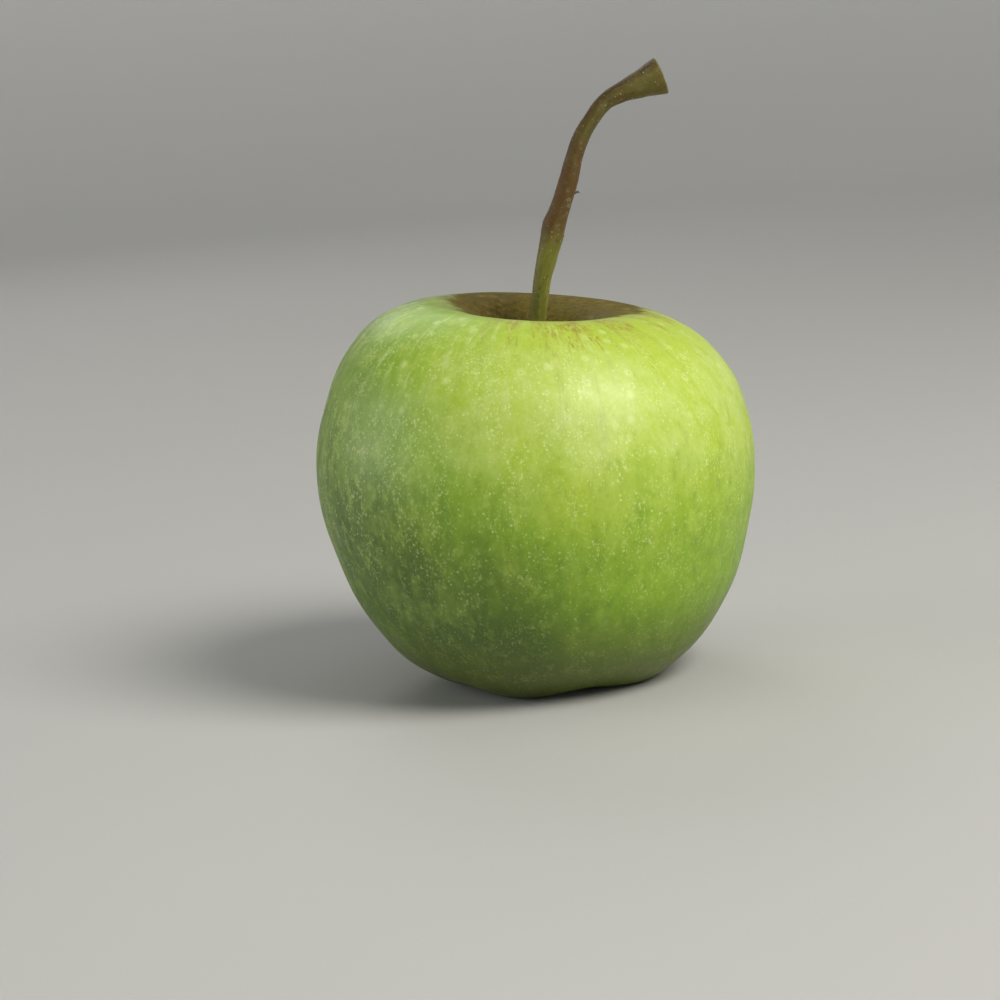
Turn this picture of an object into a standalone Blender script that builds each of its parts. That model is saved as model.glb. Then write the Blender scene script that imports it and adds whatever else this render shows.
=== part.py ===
"""A green apple with a long stalk, at its real size, standing on the lobes round its calyx basin.

Metres, +Z up along the fruit's axis. The origin is the middle of the patch that it stands on.
Run it with: blender --background --python part.py
"""

import math
import random

import bmesh
import bpy
from mathutils import Vector

MM = 0.001

# Fruit
FRUIT_RADIUS = 33.0 * MM  # at its widest
FRUIT_HEIGHT = 56.8 * MM  # from the lobes to the rim of the stalk cavity
RIM_RADIUS = 0.42 * FRUIT_RADIUS  # where the rim of the cavity runs
AROUND = 72  # facets round the axis
ALONG = 2  # facets between two points of the outline

LOBES = 5
LOBE_TURN = math.radians(-38)  # direction of the first lobe, from +X
LOBE_HEIGHT = 0.9 * MM  # the notches between the lobes rise this far
LOBE_BULGE = 0.2 * MM
LOBE_FADE = 6.5 * MM  # the lobes die out over this height
LOBE_FROM = 2.0 * MM  # distance from the axis where they begin
LOBE_FULL = 9.0 * MM  # and where they have their whole height
FOOT_CUT = 0.35 * MM  # the lobes are flat where they stand, as if worn down by this much

CAVITY_SHIFT = 2.4 * MM  # the mouth of the cavity lies this far off the axis, towards +X
CAVITY_SHIFT_FROM = 30.0 * MM  # the shoulder starts to follow it at this height
RIM_TILT_X = -0.12  # the rim falls towards +X
RIM_TILT_Y = 0.03  # and rises a little towards +Y
RIM_TILT_FROM = 22.0 * MM
LEAN = -0.03  # the axis leans towards -X
AXIS_FOOT = -LEAN * FRUIT_HEIGHT / 2  # x of the axis where the fruit stands

# Half outline of the fruit, from the floor of the cavity over the rim and down the side to the
# floor of the basin: share of the radius, share of the height.
OUTLINE = (
    (0.0, 0.79),
    (0.06, 0.79),
    (0.11, 0.83),
    (0.16, 0.89),
    (0.25, 0.965),
    (0.42, 1.0),
    (0.61, 0.985),
    (0.83, 0.89),
    (0.965, 0.72),
    (1.0, 0.555),
    (0.95, 0.385),
    (0.82, 0.195),
    (0.59, 0.042),
    (0.38, 0.0),
    (0.24, 0.04),
    (0.14, 0.1),
    (0.0, 0.12),
)

# Stalk: x, y, z and radius, from the floor of the cavity to the scar at its far end
GAP = 0.3 * MM  # between two pieces that touch
STALK_ROUTE = (
    (-0.3, 0.0, 45.0, 1.5),
    (0.6, 0.1, 49.5, 1.3),
    (2.0, 0.2, 54.5, 1.2),
    (3.1, 0.0, 60.3, 1.3),
    (4.0, -0.1, 63.4, 1.5),
    (5.1, -0.3, 66.9, 1.7),
    (6.0, -0.4, 69.5, 1.55),
    (7.0, -0.5, 72.0, 1.45),
    (8.1, -0.6, 74.9, 1.45),
    (9.1, -0.6, 78.0, 1.28),
    (10.4, -0.5, 81.0, 1.25),
    (12.1, -0.4, 83.5, 1.17),
    (14.3, -0.2, 86.0, 1.2),
    (16.8, 0.0, 87.2, 1.42),
    (19.8, 0.3, 88.1, 2.05),
    (22.8, 0.5, 89.1, 2.85),
)
STALK_ROUNDNESS = 4  # bevel resolution, 12 sides

# Calyx: the dried remains of the flower, in the basin
CALYX_FLOOR = OUTLINE[-1][1] * FRUIT_HEIGHT - FOOT_CUT
SEPAL_LENGTH = 5.0 * MM
SEPAL_WIDTH = 2.7 * MM
SEPAL_THICKNESS = 0.5 * MM
SEPAL_RING = 2.9 * MM  # radius of the ring that the sepals grow from
SEPAL_SINK = 1.0 * MM  # how far below the basin floor's middle their bases start
SEPAL_ROWS = 4
SEPAL_COLUMNS = 2
SEPAL_TIP = 0.1  # width at the tip, as a share of the width at the base
SEPAL_CUP = 0.35  # depth of the hollow across it, as a share of its width
SEPAL_BOW = 0.3  # how far its middle bows inwards, as a share of its length
STAMENS = 11
STAMEN_LENGTH = 3.4 * MM
STAMEN_RADIUS = 0.2 * MM
STAMEN_SPLAY = math.radians(16)
STAMEN_RING = 0.68 * MM  # radius of the ring that they stand on
TUFT_RADIUS = 1.1 * MM
TUFT_HEIGHT = 0.9 * MM
TAPER = 0.6  # radius of a stamen's tip, as a share of the radius at its base


def clear_scene():
    for obj in list(bpy.data.objects):
        bpy.data.objects.remove(obj, do_unlink=True)


def new_collection(name, hidden=False):
    collection = bpy.data.collections.new(name)
    collection.hide_render = hidden
    bpy.context.scene.collection.children.link(collection)
    return collection


def new_material(name, color, roughness):
    material = bpy.data.materials.new(name)
    material.use_nodes = True
    shader = material.node_tree.nodes["Principled BSDF"]
    shader.inputs["Base Color"].default_value = (*color, 1.0)
    shader.inputs["Roughness"].default_value = roughness
    shader.inputs["Metallic"].default_value = 0.0
    material.diffuse_color = (*color, 1.0)
    return material


def move_to(helper, collection):
    """Puts a cutter or another helper in the collection that isn't rendered."""
    for holder in list(helper.users_collection):
        holder.objects.unlink(helper)
    collection.objects.link(helper)
    helper.hide_render = True
    helper.display_type = "WIRE"


def add_object(name, data, collection, material=None):
    obj = bpy.data.objects.new(name, data)
    collection.objects.link(obj)
    if material:
        data.materials.append(material)
    return obj


def made_mesh(obj, name):
    """The object's evaluated shape as a plain mesh. The object itself is removed."""
    graph = bpy.context.evaluated_depsgraph_get()
    mesh = bpy.data.meshes.new_from_object(obj.evaluated_get(graph))
    mesh.name = name
    bpy.data.objects.remove(obj, do_unlink=True)
    return mesh


def eased(low, high, value):
    """0 up to low and 1 from high on, with a smooth step between."""
    share = min(max((value - low) / (high - low), 0.0), 1.0)
    return share * share * (3.0 - 2.0 * share)


def smooth_curve(name, points, resolution):
    """A curve through the points, as one Bezier spline with automatic handles."""
    curve = bpy.data.curves.new(name, "CURVE")
    curve.dimensions = "3D"
    curve.resolution_u = resolution
    spline = curve.splines.new("BEZIER")
    spline.bezier_points.add(len(points) - 1)
    for knot, point in zip(spline.bezier_points, points):
        knot.co = point
        knot.handle_left_type = knot.handle_right_type = "AUTO"
    return curve


def turned_fruit(collection):
    """The outline turned round the axis, as a plain mesh."""
    points = [(share * FRUIT_RADIUS, 0.0, height * FRUIT_HEIGHT) for share, height in OUTLINE]
    outline = add_object("outline", smooth_curve("outline", points, ALONG), collection)
    screw = outline.modifiers.new("Turn", "SCREW")
    screw.axis = "Z"
    screw.steps = screw.render_steps = AROUND
    screw.use_merge_vertices = True
    screw.merge_threshold = 0.01 * MM
    bpy.context.view_layer.update()
    return made_mesh(outline, "fruit")


def as_grown(point):
    """Moves a point of the turned shape to where it lies on the grown fruit."""
    radius = math.hypot(point.x, point.y)
    angle = math.atan2(point.y, point.x)
    wave = math.cos(LOBES * (angle - LOBE_TURN))  # 1 on a lobe, -1 in a notch
    near_lobes = math.exp(-((point.z / LOBE_FADE) ** 2)) * eased(LOBE_FROM, LOBE_FULL, radius)
    height = point.z + LOBE_HEIGHT * (1 - wave) / 2 * near_lobes
    radius += LOBE_BULGE * wave * near_lobes

    in_cavity = radius < RIM_RADIUS and point.z > FRUIT_HEIGHT / 2
    shift_from = OUTLINE[0][1] * FRUIT_HEIGHT if in_cavity else CAVITY_SHIFT_FROM
    x = radius * math.cos(angle) + CAVITY_SHIFT * eased(shift_from, FRUIT_HEIGHT, height)
    y = radius * math.sin(angle)
    height += (RIM_TILT_X * x + RIM_TILT_Y * y) * eased(RIM_TILT_FROM, FRUIT_HEIGHT, height)
    x += LEAN * (height - FRUIT_HEIGHT / 2)
    return Vector((x, y, height - FOOT_CUT))


def make_fruit(collection, cutters, material):
    mesh = turned_fruit(collection)
    for vertex in mesh.vertices:
        vertex.co = as_grown(vertex.co)
    mesh.shade_smooth()
    fruit = add_object("fruit", mesh, collection, material)

    size = 3 * FRUIT_RADIUS
    bpy.ops.mesh.primitive_cube_add(size=size, location=(0.0, 0.0, -size / 2))
    ground = bpy.context.object
    ground.name = "ground_cutter"
    move_to(ground, cutters)
    stand = fruit.modifiers.new("Feet", "BOOLEAN")
    stand.operation = "DIFFERENCE"
    stand.object = ground


def make_stem(collection, material):
    points = [(x * MM, y * MM, z * MM) for x, y, z, _ in STALK_ROUTE]
    curve = smooth_curve("stem", points, resolution=4)
    curve.bevel_depth = MM
    curve.bevel_resolution = STALK_ROUNDNESS
    curve.use_fill_caps = True
    for knot, point in zip(curve.splines[0].bezier_points, STALK_ROUTE):
        knot.radius = point[3]
    return add_object("stem", curve, collection, material)


def sepal_surface(name, curl, twist):
    """An open pointed sheet along -Z, its base at the origin and its outer face towards +X."""
    mesh = bpy.data.meshes.new(name)
    sheet = bmesh.new()
    grid = []
    for row in range(SEPAL_ROWS + 1):
        along = row / SEPAL_ROWS
        width = SEPAL_WIDTH * (1 - (1 - SEPAL_TIP) * along**1.3)
        drop = SEPAL_LENGTH * along * (1 - 0.12 * along)
        lean = curl * along**3 - SEPAL_BOW * SEPAL_LENGTH * math.sin(math.pi * along * 0.75)
        line = []
        for column in range(SEPAL_COLUMNS + 1):
            across = column / SEPAL_COLUMNS - 0.5
            cupped = SEPAL_CUP * width * (0.25 - across * across)
            place = (lean + cupped, width * across + twist * along**2, -drop)
            line.append(sheet.verts.new(place))
        grid.append(line)
    for above, below in zip(grid, grid[1:]):
        for left in range(SEPAL_COLUMNS):
            corners = (above[left], above[left + 1], below[left + 1], below[left])
            sheet.faces.new(corners)
    sheet.to_mesh(mesh)
    sheet.free()
    return mesh


def make_sepals(collection, material):
    draw = random.Random(5)
    for number in range(LOBES):
        name = f"sepal_{number + 1}"
        curl = draw.uniform(1.0, 1.8) * MM
        twist = draw.uniform(-0.3, 0.3) * MM
        sepal = add_object(name, sepal_surface(name, curl, twist), collection, material)
        angle = LOBE_TURN + 2 * math.pi * number / LOBES
        sepal.location = (
            SEPAL_RING * math.cos(angle) + AXIS_FOOT,
            SEPAL_RING * math.sin(angle),
            CALYX_FLOOR - SEPAL_SINK,
        )
        sepal.rotation_euler.z = angle
        sepal.data.shade_smooth()
        wall = sepal.modifiers.new("Thickness", "SOLIDIFY")
        wall.thickness = SEPAL_THICKNESS
        wall.offset = 0.0
        rounded = sepal.modifiers.new("Rounding", "SUBSURF")
        rounded.levels = rounded.render_levels = 1


def make_cone(name, collection, base_radius, tip_radius, length, sides):
    """A blunt cone that hangs from the origin along -Z."""
    mesh = bpy.data.meshes.new(name)
    cone = bmesh.new()
    bmesh.ops.create_cone(
        cone, cap_ends=True, segments=sides, radius1=tip_radius, radius2=base_radius, depth=length
    )
    bmesh.ops.translate(cone, verts=cone.verts, vec=(0.0, 0.0, -length / 2))
    cone.to_mesh(mesh)
    cone.free()
    return add_object(name, mesh, collection)


def make_stamen_tuft(collection, stamens, material):
    middle = Vector((AXIS_FOOT, 0.0, CALYX_FLOOR - GAP))
    tuft = make_cone("stamen_tuft", collection, TUFT_RADIUS, 0.8 * TUFT_RADIUS, TUFT_HEIGHT, 16)
    tuft.data.materials.append(material)
    tuft.location = middle
    draw = random.Random(11)
    for number in range(STAMENS):
        angle = 2 * math.pi * number / STAMENS
        length = STAMEN_LENGTH * draw.uniform(0.8, 1.0)
        tip_radius = TAPER * STAMEN_RADIUS
        stamen = make_cone(f"stamen_{number}", collection, STAMEN_RADIUS, tip_radius, length, 6)
        ring = Vector((math.cos(angle), math.sin(angle), 0.0)) * STAMEN_RING
        stamen.location = middle + ring - Vector((0.0, 0.0, TUFT_HEIGHT / 2))
        stamen.rotation_euler = (0.0, -STAMEN_SPLAY * draw.uniform(0.2, 1.0), angle)
        move_to(stamen, stamens)
    join = tuft.modifiers.new("Stamens", "BOOLEAN")
    join.operation = "UNION"
    join.operand_type = "COLLECTION"
    join.collection = stamens


def main():
    clear_scene()
    apple = new_collection("green_apple")
    cutters = new_collection("cutters", hidden=True)
    stamens = new_collection("stamens", hidden=True)
    skin = new_material("apple_skin", (0.36, 0.52, 0.06), 0.42)
    bark = new_material("stalk_bark", (0.21, 0.22, 0.05), 0.6)
    husk = new_material("dried_calyx", (0.13, 0.09, 0.04), 0.85)
    make_fruit(apple, cutters, skin)
    make_stem(apple, bark)
    make_sepals(apple, husk)
    make_stamen_tuft(apple, stamens, husk)


main()
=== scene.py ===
import math
import random

import bmesh
import bpy
from mathutils import Matrix, Vector


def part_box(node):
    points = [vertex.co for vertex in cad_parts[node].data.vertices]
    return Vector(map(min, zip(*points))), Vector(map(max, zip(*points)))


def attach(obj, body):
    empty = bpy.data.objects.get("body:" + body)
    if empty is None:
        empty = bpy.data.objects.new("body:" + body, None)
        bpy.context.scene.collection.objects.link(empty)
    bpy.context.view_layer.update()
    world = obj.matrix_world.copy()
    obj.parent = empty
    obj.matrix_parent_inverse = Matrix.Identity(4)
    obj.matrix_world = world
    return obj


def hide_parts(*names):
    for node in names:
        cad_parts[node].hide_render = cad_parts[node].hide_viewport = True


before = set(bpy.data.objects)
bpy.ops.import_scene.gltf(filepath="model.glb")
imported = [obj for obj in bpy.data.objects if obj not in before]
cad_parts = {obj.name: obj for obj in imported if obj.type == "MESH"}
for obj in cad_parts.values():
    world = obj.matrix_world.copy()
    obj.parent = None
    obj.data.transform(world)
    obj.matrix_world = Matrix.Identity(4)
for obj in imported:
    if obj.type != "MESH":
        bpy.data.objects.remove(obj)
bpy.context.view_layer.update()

mm = 0.001
socketKinds = {
    float: "NodeSocketFloat",
    int: "NodeSocketInt",
    Vector: "NodeSocketVector",
    bpy.types.Material: "NodeSocketMaterial",
}


# Node helpers, the same for geometry and for materials

def plug(tree, socket, value):
    if isinstance(value, bpy.types.NodeSocket):
        tree.links.new(value, socket)
    elif value is not None:
        socket.default_value = value


def addNode(tree, kind, inputs=None, **settings):
    made = tree.nodes.new(kind)
    for name, value in settings.items():
        setattr(made, name, value)
    for name, value in (inputs or {}).items():
        plug(tree, made.inputs[name], value)
    return made


def calc(tree, operation, *values):
    made = addNode(tree, "ShaderNodeMath", operation=operation)
    for socket, value in zip(made.inputs, values):
        plug(tree, socket, value)
    return made.outputs[0]


def vecCalc(tree, operation, *values):
    made = addNode(tree, "ShaderNodeVectorMath", operation=operation)
    for socket, value in zip(made.inputs, values):
        plug(tree, socket, value)
    return made.outputs["Value" if operation in ("LENGTH", "DOT_PRODUCT") else "Vector"]


def scaled(tree, vector, amount):
    made = addNode(tree, "ShaderNodeVectorMath", {"Vector": vector, "Scale": amount}, operation="SCALE")
    return made.outputs["Vector"]


def parts(tree, vector):
    return addNode(tree, "ShaderNodeSeparateXYZ", {"Vector": vector}).outputs


def joined(tree, x, y, z):
    return addNode(tree, "ShaderNodeCombineXYZ", {"X": x, "Y": y, "Z": z}).outputs["Vector"]


def ease(tree, value, low, high, start=0.0, stop=1.0):  # a smooth step from start to stop
    made = addNode(tree, "ShaderNodeMapRange", {"Value": value}, interpolation_type="SMOOTHSTEP")
    for name, amount in (("From Min", low), ("From Max", high), ("To Min", start), ("To Max", stop)):
        plug(tree, made.inputs[name], amount)
    return made.outputs["Result"]


def noise(tree, vector, scale, detail=2.0, roughness=0.5, output="Fac"):
    inputs = {"Vector": vector, "Scale": scale, "Detail": detail, "Roughness": roughness}
    return addNode(tree, "ShaderNodeTexNoise", inputs).outputs[output]


def cells(tree, vector, scale):  # distance to the nearest cell's middle, and that cell's own random colour
    made = addNode(tree, "ShaderNodeTexVoronoi", {"Vector": vector, "Scale": scale})
    return made.outputs["Distance"], made.outputs["Color"]


# Geometry Nodes helpers

def newTree(name, inputs):  # a geometry tree, its named inputs and its output
    tree = bpy.data.node_groups.new(name, "GeometryNodeTree")
    tree.interface.new_socket("Geometry", in_out="INPUT", socket_type="NodeSocketGeometry")
    for label, value in inputs.items():
        tree.interface.new_socket(label, in_out="INPUT", socket_type=socketKinds[type(value)])
    tree.interface.new_socket("Geometry", in_out="OUTPUT", socket_type="NodeSocketGeometry")
    return tree, addNode(tree, "NodeGroupInput").outputs, addNode(tree, "NodeGroupOutput").inputs[0]


def moved(tree, geometry, position=None, offset=None):
    inputs = {"Geometry": geometry, "Position": position, "Offset": offset}
    return addNode(tree, "GeometryNodeSetPosition", inputs).outputs["Geometry"]


def stored(tree, geometry, name, value, kind="FLOAT", domain="POINT"):
    inputs = {"Geometry": geometry, "Name": name, "Value": value}
    return addNode(tree, "GeometryNodeStoreNamedAttribute", inputs, data_type=kind, domain=domain).outputs[0]


def named(tree, name, kind="FLOAT"):
    return addNode(tree, "GeometryNodeInputNamedAttribute", {"Name": name}, data_type=kind).outputs[0]


def smoothShaded(tree, geometry):
    return addNode(tree, "GeometryNodeSetShadeSmooth", {"Geometry": geometry}).outputs[0]


def realized(tree, geometry, material):  # how every tree here ends
    plain = addNode(tree, "GeometryNodeRealizeInstances", {"Geometry": geometry}).outputs[0]
    return addNode(tree, "GeometryNodeSetMaterial", {"Geometry": plain, "Material": material}).outputs[0]


def plainMesh(source, tree, inputs):  # runs the tree on the source and keeps only the mesh that it makes
    modifier = source.modifiers.new(tree.name, "NODES")
    modifier.node_group = tree
    for item in tree.interface.items_tree:
        if item.in_out == "INPUT" and item.name in inputs:
            modifier[item.identifier] = inputs[item.name]
    bpy.context.view_layer.update()
    graph = bpy.context.evaluated_depsgraph_get()
    mesh = bpy.data.meshes.new_from_object(source.evaluated_get(graph))
    mesh.name = source.name
    old = source.data
    name = source.name
    bpy.data.objects.remove(source)
    if isinstance(old, bpy.types.Mesh):
        bpy.data.meshes.remove(old)
    return newObject(name, mesh)


def newObject(name, data):
    made = bpy.data.objects.new(name, data)
    bpy.context.scene.collection.objects.link(made)
    return made


def smoothCurve(name, points, radii=None, resolution=12):
    curve = bpy.data.curves.new(name, "CURVE")
    curve.dimensions = "3D"
    curve.resolution_u = resolution
    spline = curve.splines.new("BEZIER")
    spline.bezier_points.add(len(points) - 1)
    for number, (knot, point) in enumerate(zip(spline.bezier_points, points)):
        knot.co = point
        knot.handle_left_type = knot.handle_right_type = "AUTO"
        knot.radius = radii[number] if radii else 1.0
    return newObject(name, curve)


# Mesh helpers

def addTube(shape, points, radii, sides=6):  # a closed tube through the points
    rings = []
    for number, (point, radius) in enumerate(zip(points, radii)):
        ahead = points[min(number + 1, len(points) - 1)] - points[max(number - 1, 0)]
        turned = ahead.to_track_quat("Z", "Y")
        ring = []
        for side in range(sides):
            angle = 2 * math.pi * side / sides
            spoke = turned @ Vector((math.cos(angle), math.sin(angle), 0.0))
            ring.append(shape.verts.new(point + radius * spoke))
        rings.append(ring)
    for near, far in zip(rings, rings[1:]):
        for side in range(sides):
            after = (side + 1) % sides
            shape.faces.new((near[side], near[after], far[after], far[side]))
    shape.faces.new(reversed(rings[0]))
    shape.faces.new(rings[-1])


def addBlob(shape, centre, size, turn=None):  # a small rounded lump
    place = Matrix.Translation(centre) @ (turn or Matrix.Identity(4)) @ Matrix.Diagonal((*size, 1.0))
    bmesh.ops.create_icosphere(shape, subdivisions=2, radius=1.0, matrix=place)


def finished(name, shape, material):  # a small piece of its own, on the one body
    mesh = bpy.data.meshes.new(name)
    shape.to_mesh(mesh)
    shape.free()
    mesh.shade_smooth()
    mesh.materials.append(material)
    made = newObject(name, mesh)
    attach(made, "root")
    return made


# Material helpers

def newMaterial(name, roughness, **constants):
    material = bpy.data.materials.new(name)
    material.use_nodes = True
    tree = material.node_tree
    shader = tree.nodes["Principled BSDF"]
    shader.inputs["Roughness"].default_value = roughness
    for label, value in constants.items():
        shader.inputs[label.replace("_", " ")].default_value = value
    return material, tree, shader


def here(tree):  # a point of the piece, in the object's own metres
    return addNode(tree, "ShaderNodeTexCoord").outputs["Object"]


def ownAttribute(tree, name, output="Vector"):
    return addNode(tree, "ShaderNodeAttribute", attribute_name=name).outputs[output]


def stretched(tree, vector, scale, place=(0.0, 0.0, 0.0)):
    inputs = {"Vector": vector, "Scale": scale, "Location": place}
    return addNode(tree, "ShaderNodeMapping", inputs).outputs["Vector"]


def paint(tree, under, share, over):  # lays one colour over another
    made = addNode(tree, "ShaderNodeMix", data_type="RGBA", clamp_factor=True)
    for socket, value in ((made.inputs[0], share), (made.inputs[6], under), (made.inputs[7], over)):
        plug(tree, socket, (*value, 1.0) if isinstance(value, tuple) else value)
    return made.outputs[2]


def bumped(tree, shader, height, strength=1.0):  # height in millimetres
    inputs = {"Height": height, "Distance": mm, "Strength": strength}
    plug(tree, shader.inputs["Normal"], addNode(tree, "ShaderNodeBump", inputs).outputs["Normal"])


def total(tree, *values):
    result = values[0]
    for value in values[1:]:
        result = calc(tree, "ADD", result, value)
    return result


def product(tree, *values):
    result = values[0]
    for value in values[1:]:
        result = calc(tree, "MULTIPLY", result, value)
    return result


# Fruit: one turned outline, then grown out of round by the rule in the tree

fruit = {
    "rimShare": 0.9745,  # height of the cavity's rim, as a share of the whole fruit's
    "around": 336,
    "along": 250,
    "lobes": 5,
    "lobeTurn": -38.0,  # degrees, first lobe from +X
    "lobeHeight": 0.9,  # from here down, sizes are in millimetres
    "lobeBulge": 0.2,
    "lobeFade": 6.5,
    "lobeFrom": 2.0,
    "lobeFull": 9.0,
    "footCut": 0.35,
    "cavityShift": 2.4,
    "shoulderFrom": 30.0,
    "tiltFrom": 22.0,
    "tiltX": -0.12,  # slopes, with no unit
    "tiltY": 0.03,
    "lean": -0.03,
    "swell": 0.5,  # broad unevenness of the flesh
    "dimple": 0.09,  # small unevenness of the skin
    "furrow": 0.12,  # grooves that run down into the cavity
    "seed": 3.0,
    "grainRadius": 0.033,
}

# Share of the radius and share of the height, from the cavity's floor over the rim to the basin's floor
outline = (
    (0.0, 0.79),
    (0.06, 0.79),
    (0.11, 0.83),
    (0.16, 0.89),
    (0.25, 0.965),
    (0.42, 1.0),
    (0.61, 0.985),
    (0.83, 0.89),
    (0.965, 0.72),
    (1.0, 0.555),
    (0.95, 0.385),
    (0.82, 0.195),
    (0.59, 0.042),
    (0.38, 0.0),
    (0.24, 0.04),
    (0.14, 0.1),
    (0.0, 0.12),
)


def fruitTree(inputs):
    tree, start, end = newTree("fruitAsGrown", inputs)

    def maths(operation, *values):
        return calc(tree, operation, *values)

    grid = addNode(tree, "GeometryNodeMeshGrid", {"Size X": 1.0, "Size Y": 1.0,
                   "Vertices X": start["Around"], "Vertices Y": start["Along"]}).outputs["Mesh"]
    place = parts(tree, addNode(tree, "GeometryNodeInputPosition").outputs[0])
    turn = maths("MULTIPLY", maths("ADD", place["X"], 0.5), -2 * math.pi)  # this way round, faces point out
    share = maths("ADD", place["Y"], 0.5)
    length = addNode(tree, "GeometryNodeCurveLength", {"Curve": start["Geometry"]}).outputs["Length"]
    profile = addNode(tree, "GeometryNodeSampleCurve", {"Curves": start["Geometry"], "Factor": share})
    cosine, sine = maths("COSINE", turn), maths("SINE", turn)
    grain = joined(tree, maths("MULTIPLY", cosine, start["Radius"]),
                   maths("MULTIPLY", sine, start["Radius"]), maths("MULTIPLY", share, length))
    mesh = stored(tree, grid, "grain", grain, "FLOAT_VECTOR")

    outlinePoint = parts(tree, profile.outputs["Position"])
    radius, height = outlinePoint["X"], outlinePoint["Z"]
    wave = maths("COSINE", maths("MULTIPLY", start["Lobes"], maths("SUBTRACT", turn, start["Lobe Turn"])))
    fall = maths("POWER", maths("DIVIDE", height, start["Lobe Fade"]), 2.0)
    nearLobes = product(tree, maths("EXPONENT", maths("MULTIPLY", fall, -1.0)),
                        ease(tree, radius, start["Lobe From"], start["Lobe Full"]))
    notch = maths("MULTIPLY", maths("SUBTRACT", 1.0, wave), 0.5)
    height = total(tree, height, product(tree, start["Lobe Height"], notch, nearLobes))
    radius = total(tree, radius, product(tree, start["Lobe Bulge"], wave, nearLobes))

    inCavity = maths("MULTIPLY", maths("LESS_THAN", radius, start["Rim Radius"]),
                     maths("GREATER_THAN", height, maths("MULTIPLY", start["Height"], 0.5)))
    lower = maths("SUBTRACT", start["Cavity Floor"], start["Shoulder From"])
    shiftFrom = total(tree, start["Shoulder From"], product(tree, inCavity, lower))
    x = total(tree, product(tree, radius, cosine),
              product(tree, start["Cavity Shift"], ease(tree, height, shiftFrom, start["Height"])))
    y = product(tree, radius, sine)
    slope = total(tree, product(tree, start["Tilt X"], x), product(tree, start["Tilt Y"], y))
    tilted = ease(tree, height, start["Tilt From"], start["Height"])
    height = total(tree, height, product(tree, slope, tilted))
    middle = maths("MULTIPLY", start["Height"], 0.5)
    x = total(tree, x, product(tree, start["Lean"], maths("SUBTRACT", height, middle)))
    grown = joined(tree, x, y, maths("SUBTRACT", height, start["Foot Cut"]))
    mesh = moved(tree, mesh, position=grown)
    mesh = addNode(tree, "GeometryNodeMergeByDistance", {"Geometry": mesh, "Distance": 0.001 * mm}).outputs[0]

    # Living unevenness, along the surface's own normal
    point = addNode(tree, "GeometryNodeInputPosition").outputs[0]
    seeded = vecCalc(tree, "ADD", point, joined(tree, start["Seed"], 0.0, 0.0))
    grainHere = named(tree, "grain", "FLOAT_VECTOR")
    grainParts = parts(tree, grainHere)
    broad = maths("SUBTRACT", noise(tree, seeded, 34.0, 1.0), 0.5)
    small = maths("SUBTRACT", noise(tree, seeded, 230.0, 2.0), 0.5)
    cavity = ease(tree, grainParts["Z"], 0.012, 0.023, 1.0, 0.0)
    grooveSpace = vecCalc(tree, "MULTIPLY", grainHere, (130.0, 130.0, 60.0))
    groove = maths("SUBTRACT", noise(tree, grooveSpace, 1.0, 2.0), 0.5)
    relief = total(tree, product(tree, broad, start["Swell"]), product(tree, small, start["Dimple"]),
                   product(tree, groove, cavity, start["Furrow"]))
    relief = product(tree, relief, ease(tree, grainParts["Z"], 0.001, 0.006))
    normal = addNode(tree, "GeometryNodeInputNormal").outputs[0]
    mesh = moved(tree, mesh, offset=scaled(tree, normal, relief))
    after = parts(tree, addNode(tree, "GeometryNodeInputPosition").outputs[0])
    mesh = moved(tree, mesh, position=joined(tree, after["X"], after["Y"], maths("MAXIMUM", after["Z"], 0.0)))
    tree.links.new(realized(tree, smoothShaded(tree, mesh), start["Material"]), end)
    return tree


def makeFruit(material):
    low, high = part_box("fruit")
    radius = (high.y - low.y) / 2
    height = high.z * fruit["rimShare"]
    points = [(share * radius, 0.0, level * height) for share, level in outline]
    inputs = {
        "Around": fruit["around"] + 1,
        "Along": fruit["along"] + 1,
        "Radius": radius,
        "Height": height,
        "Rim Radius": outline[5][0] * radius,
        "Cavity Floor": outline[0][1] * height,
        "Lobes": float(fruit["lobes"]),
        "Lobe Turn": math.radians(fruit["lobeTurn"]),
        "Lobe Height": fruit["lobeHeight"] * mm,
        "Lobe Bulge": fruit["lobeBulge"] * mm,
        "Lobe Fade": fruit["lobeFade"] * mm,
        "Lobe From": fruit["lobeFrom"] * mm,
        "Lobe Full": fruit["lobeFull"] * mm,
        "Foot Cut": fruit["footCut"] * mm,
        "Cavity Shift": fruit["cavityShift"] * mm,
        "Shoulder From": fruit["shoulderFrom"] * mm,
        "Tilt From": fruit["tiltFrom"] * mm,
        "Tilt X": fruit["tiltX"],
        "Tilt Y": fruit["tiltY"],
        "Lean": fruit["lean"],
        "Swell": fruit["swell"] * mm,
        "Dimple": fruit["dimple"] * mm,
        "Furrow": fruit["furrow"] * mm,
        "Seed": fruit["seed"],
        "Material": material,
    }
    made = plainMesh(smoothCurve("fruitSkin", points, resolution=32), fruitTree(inputs), inputs)
    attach(made, "root")
    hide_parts("fruit")
    return made


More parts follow.
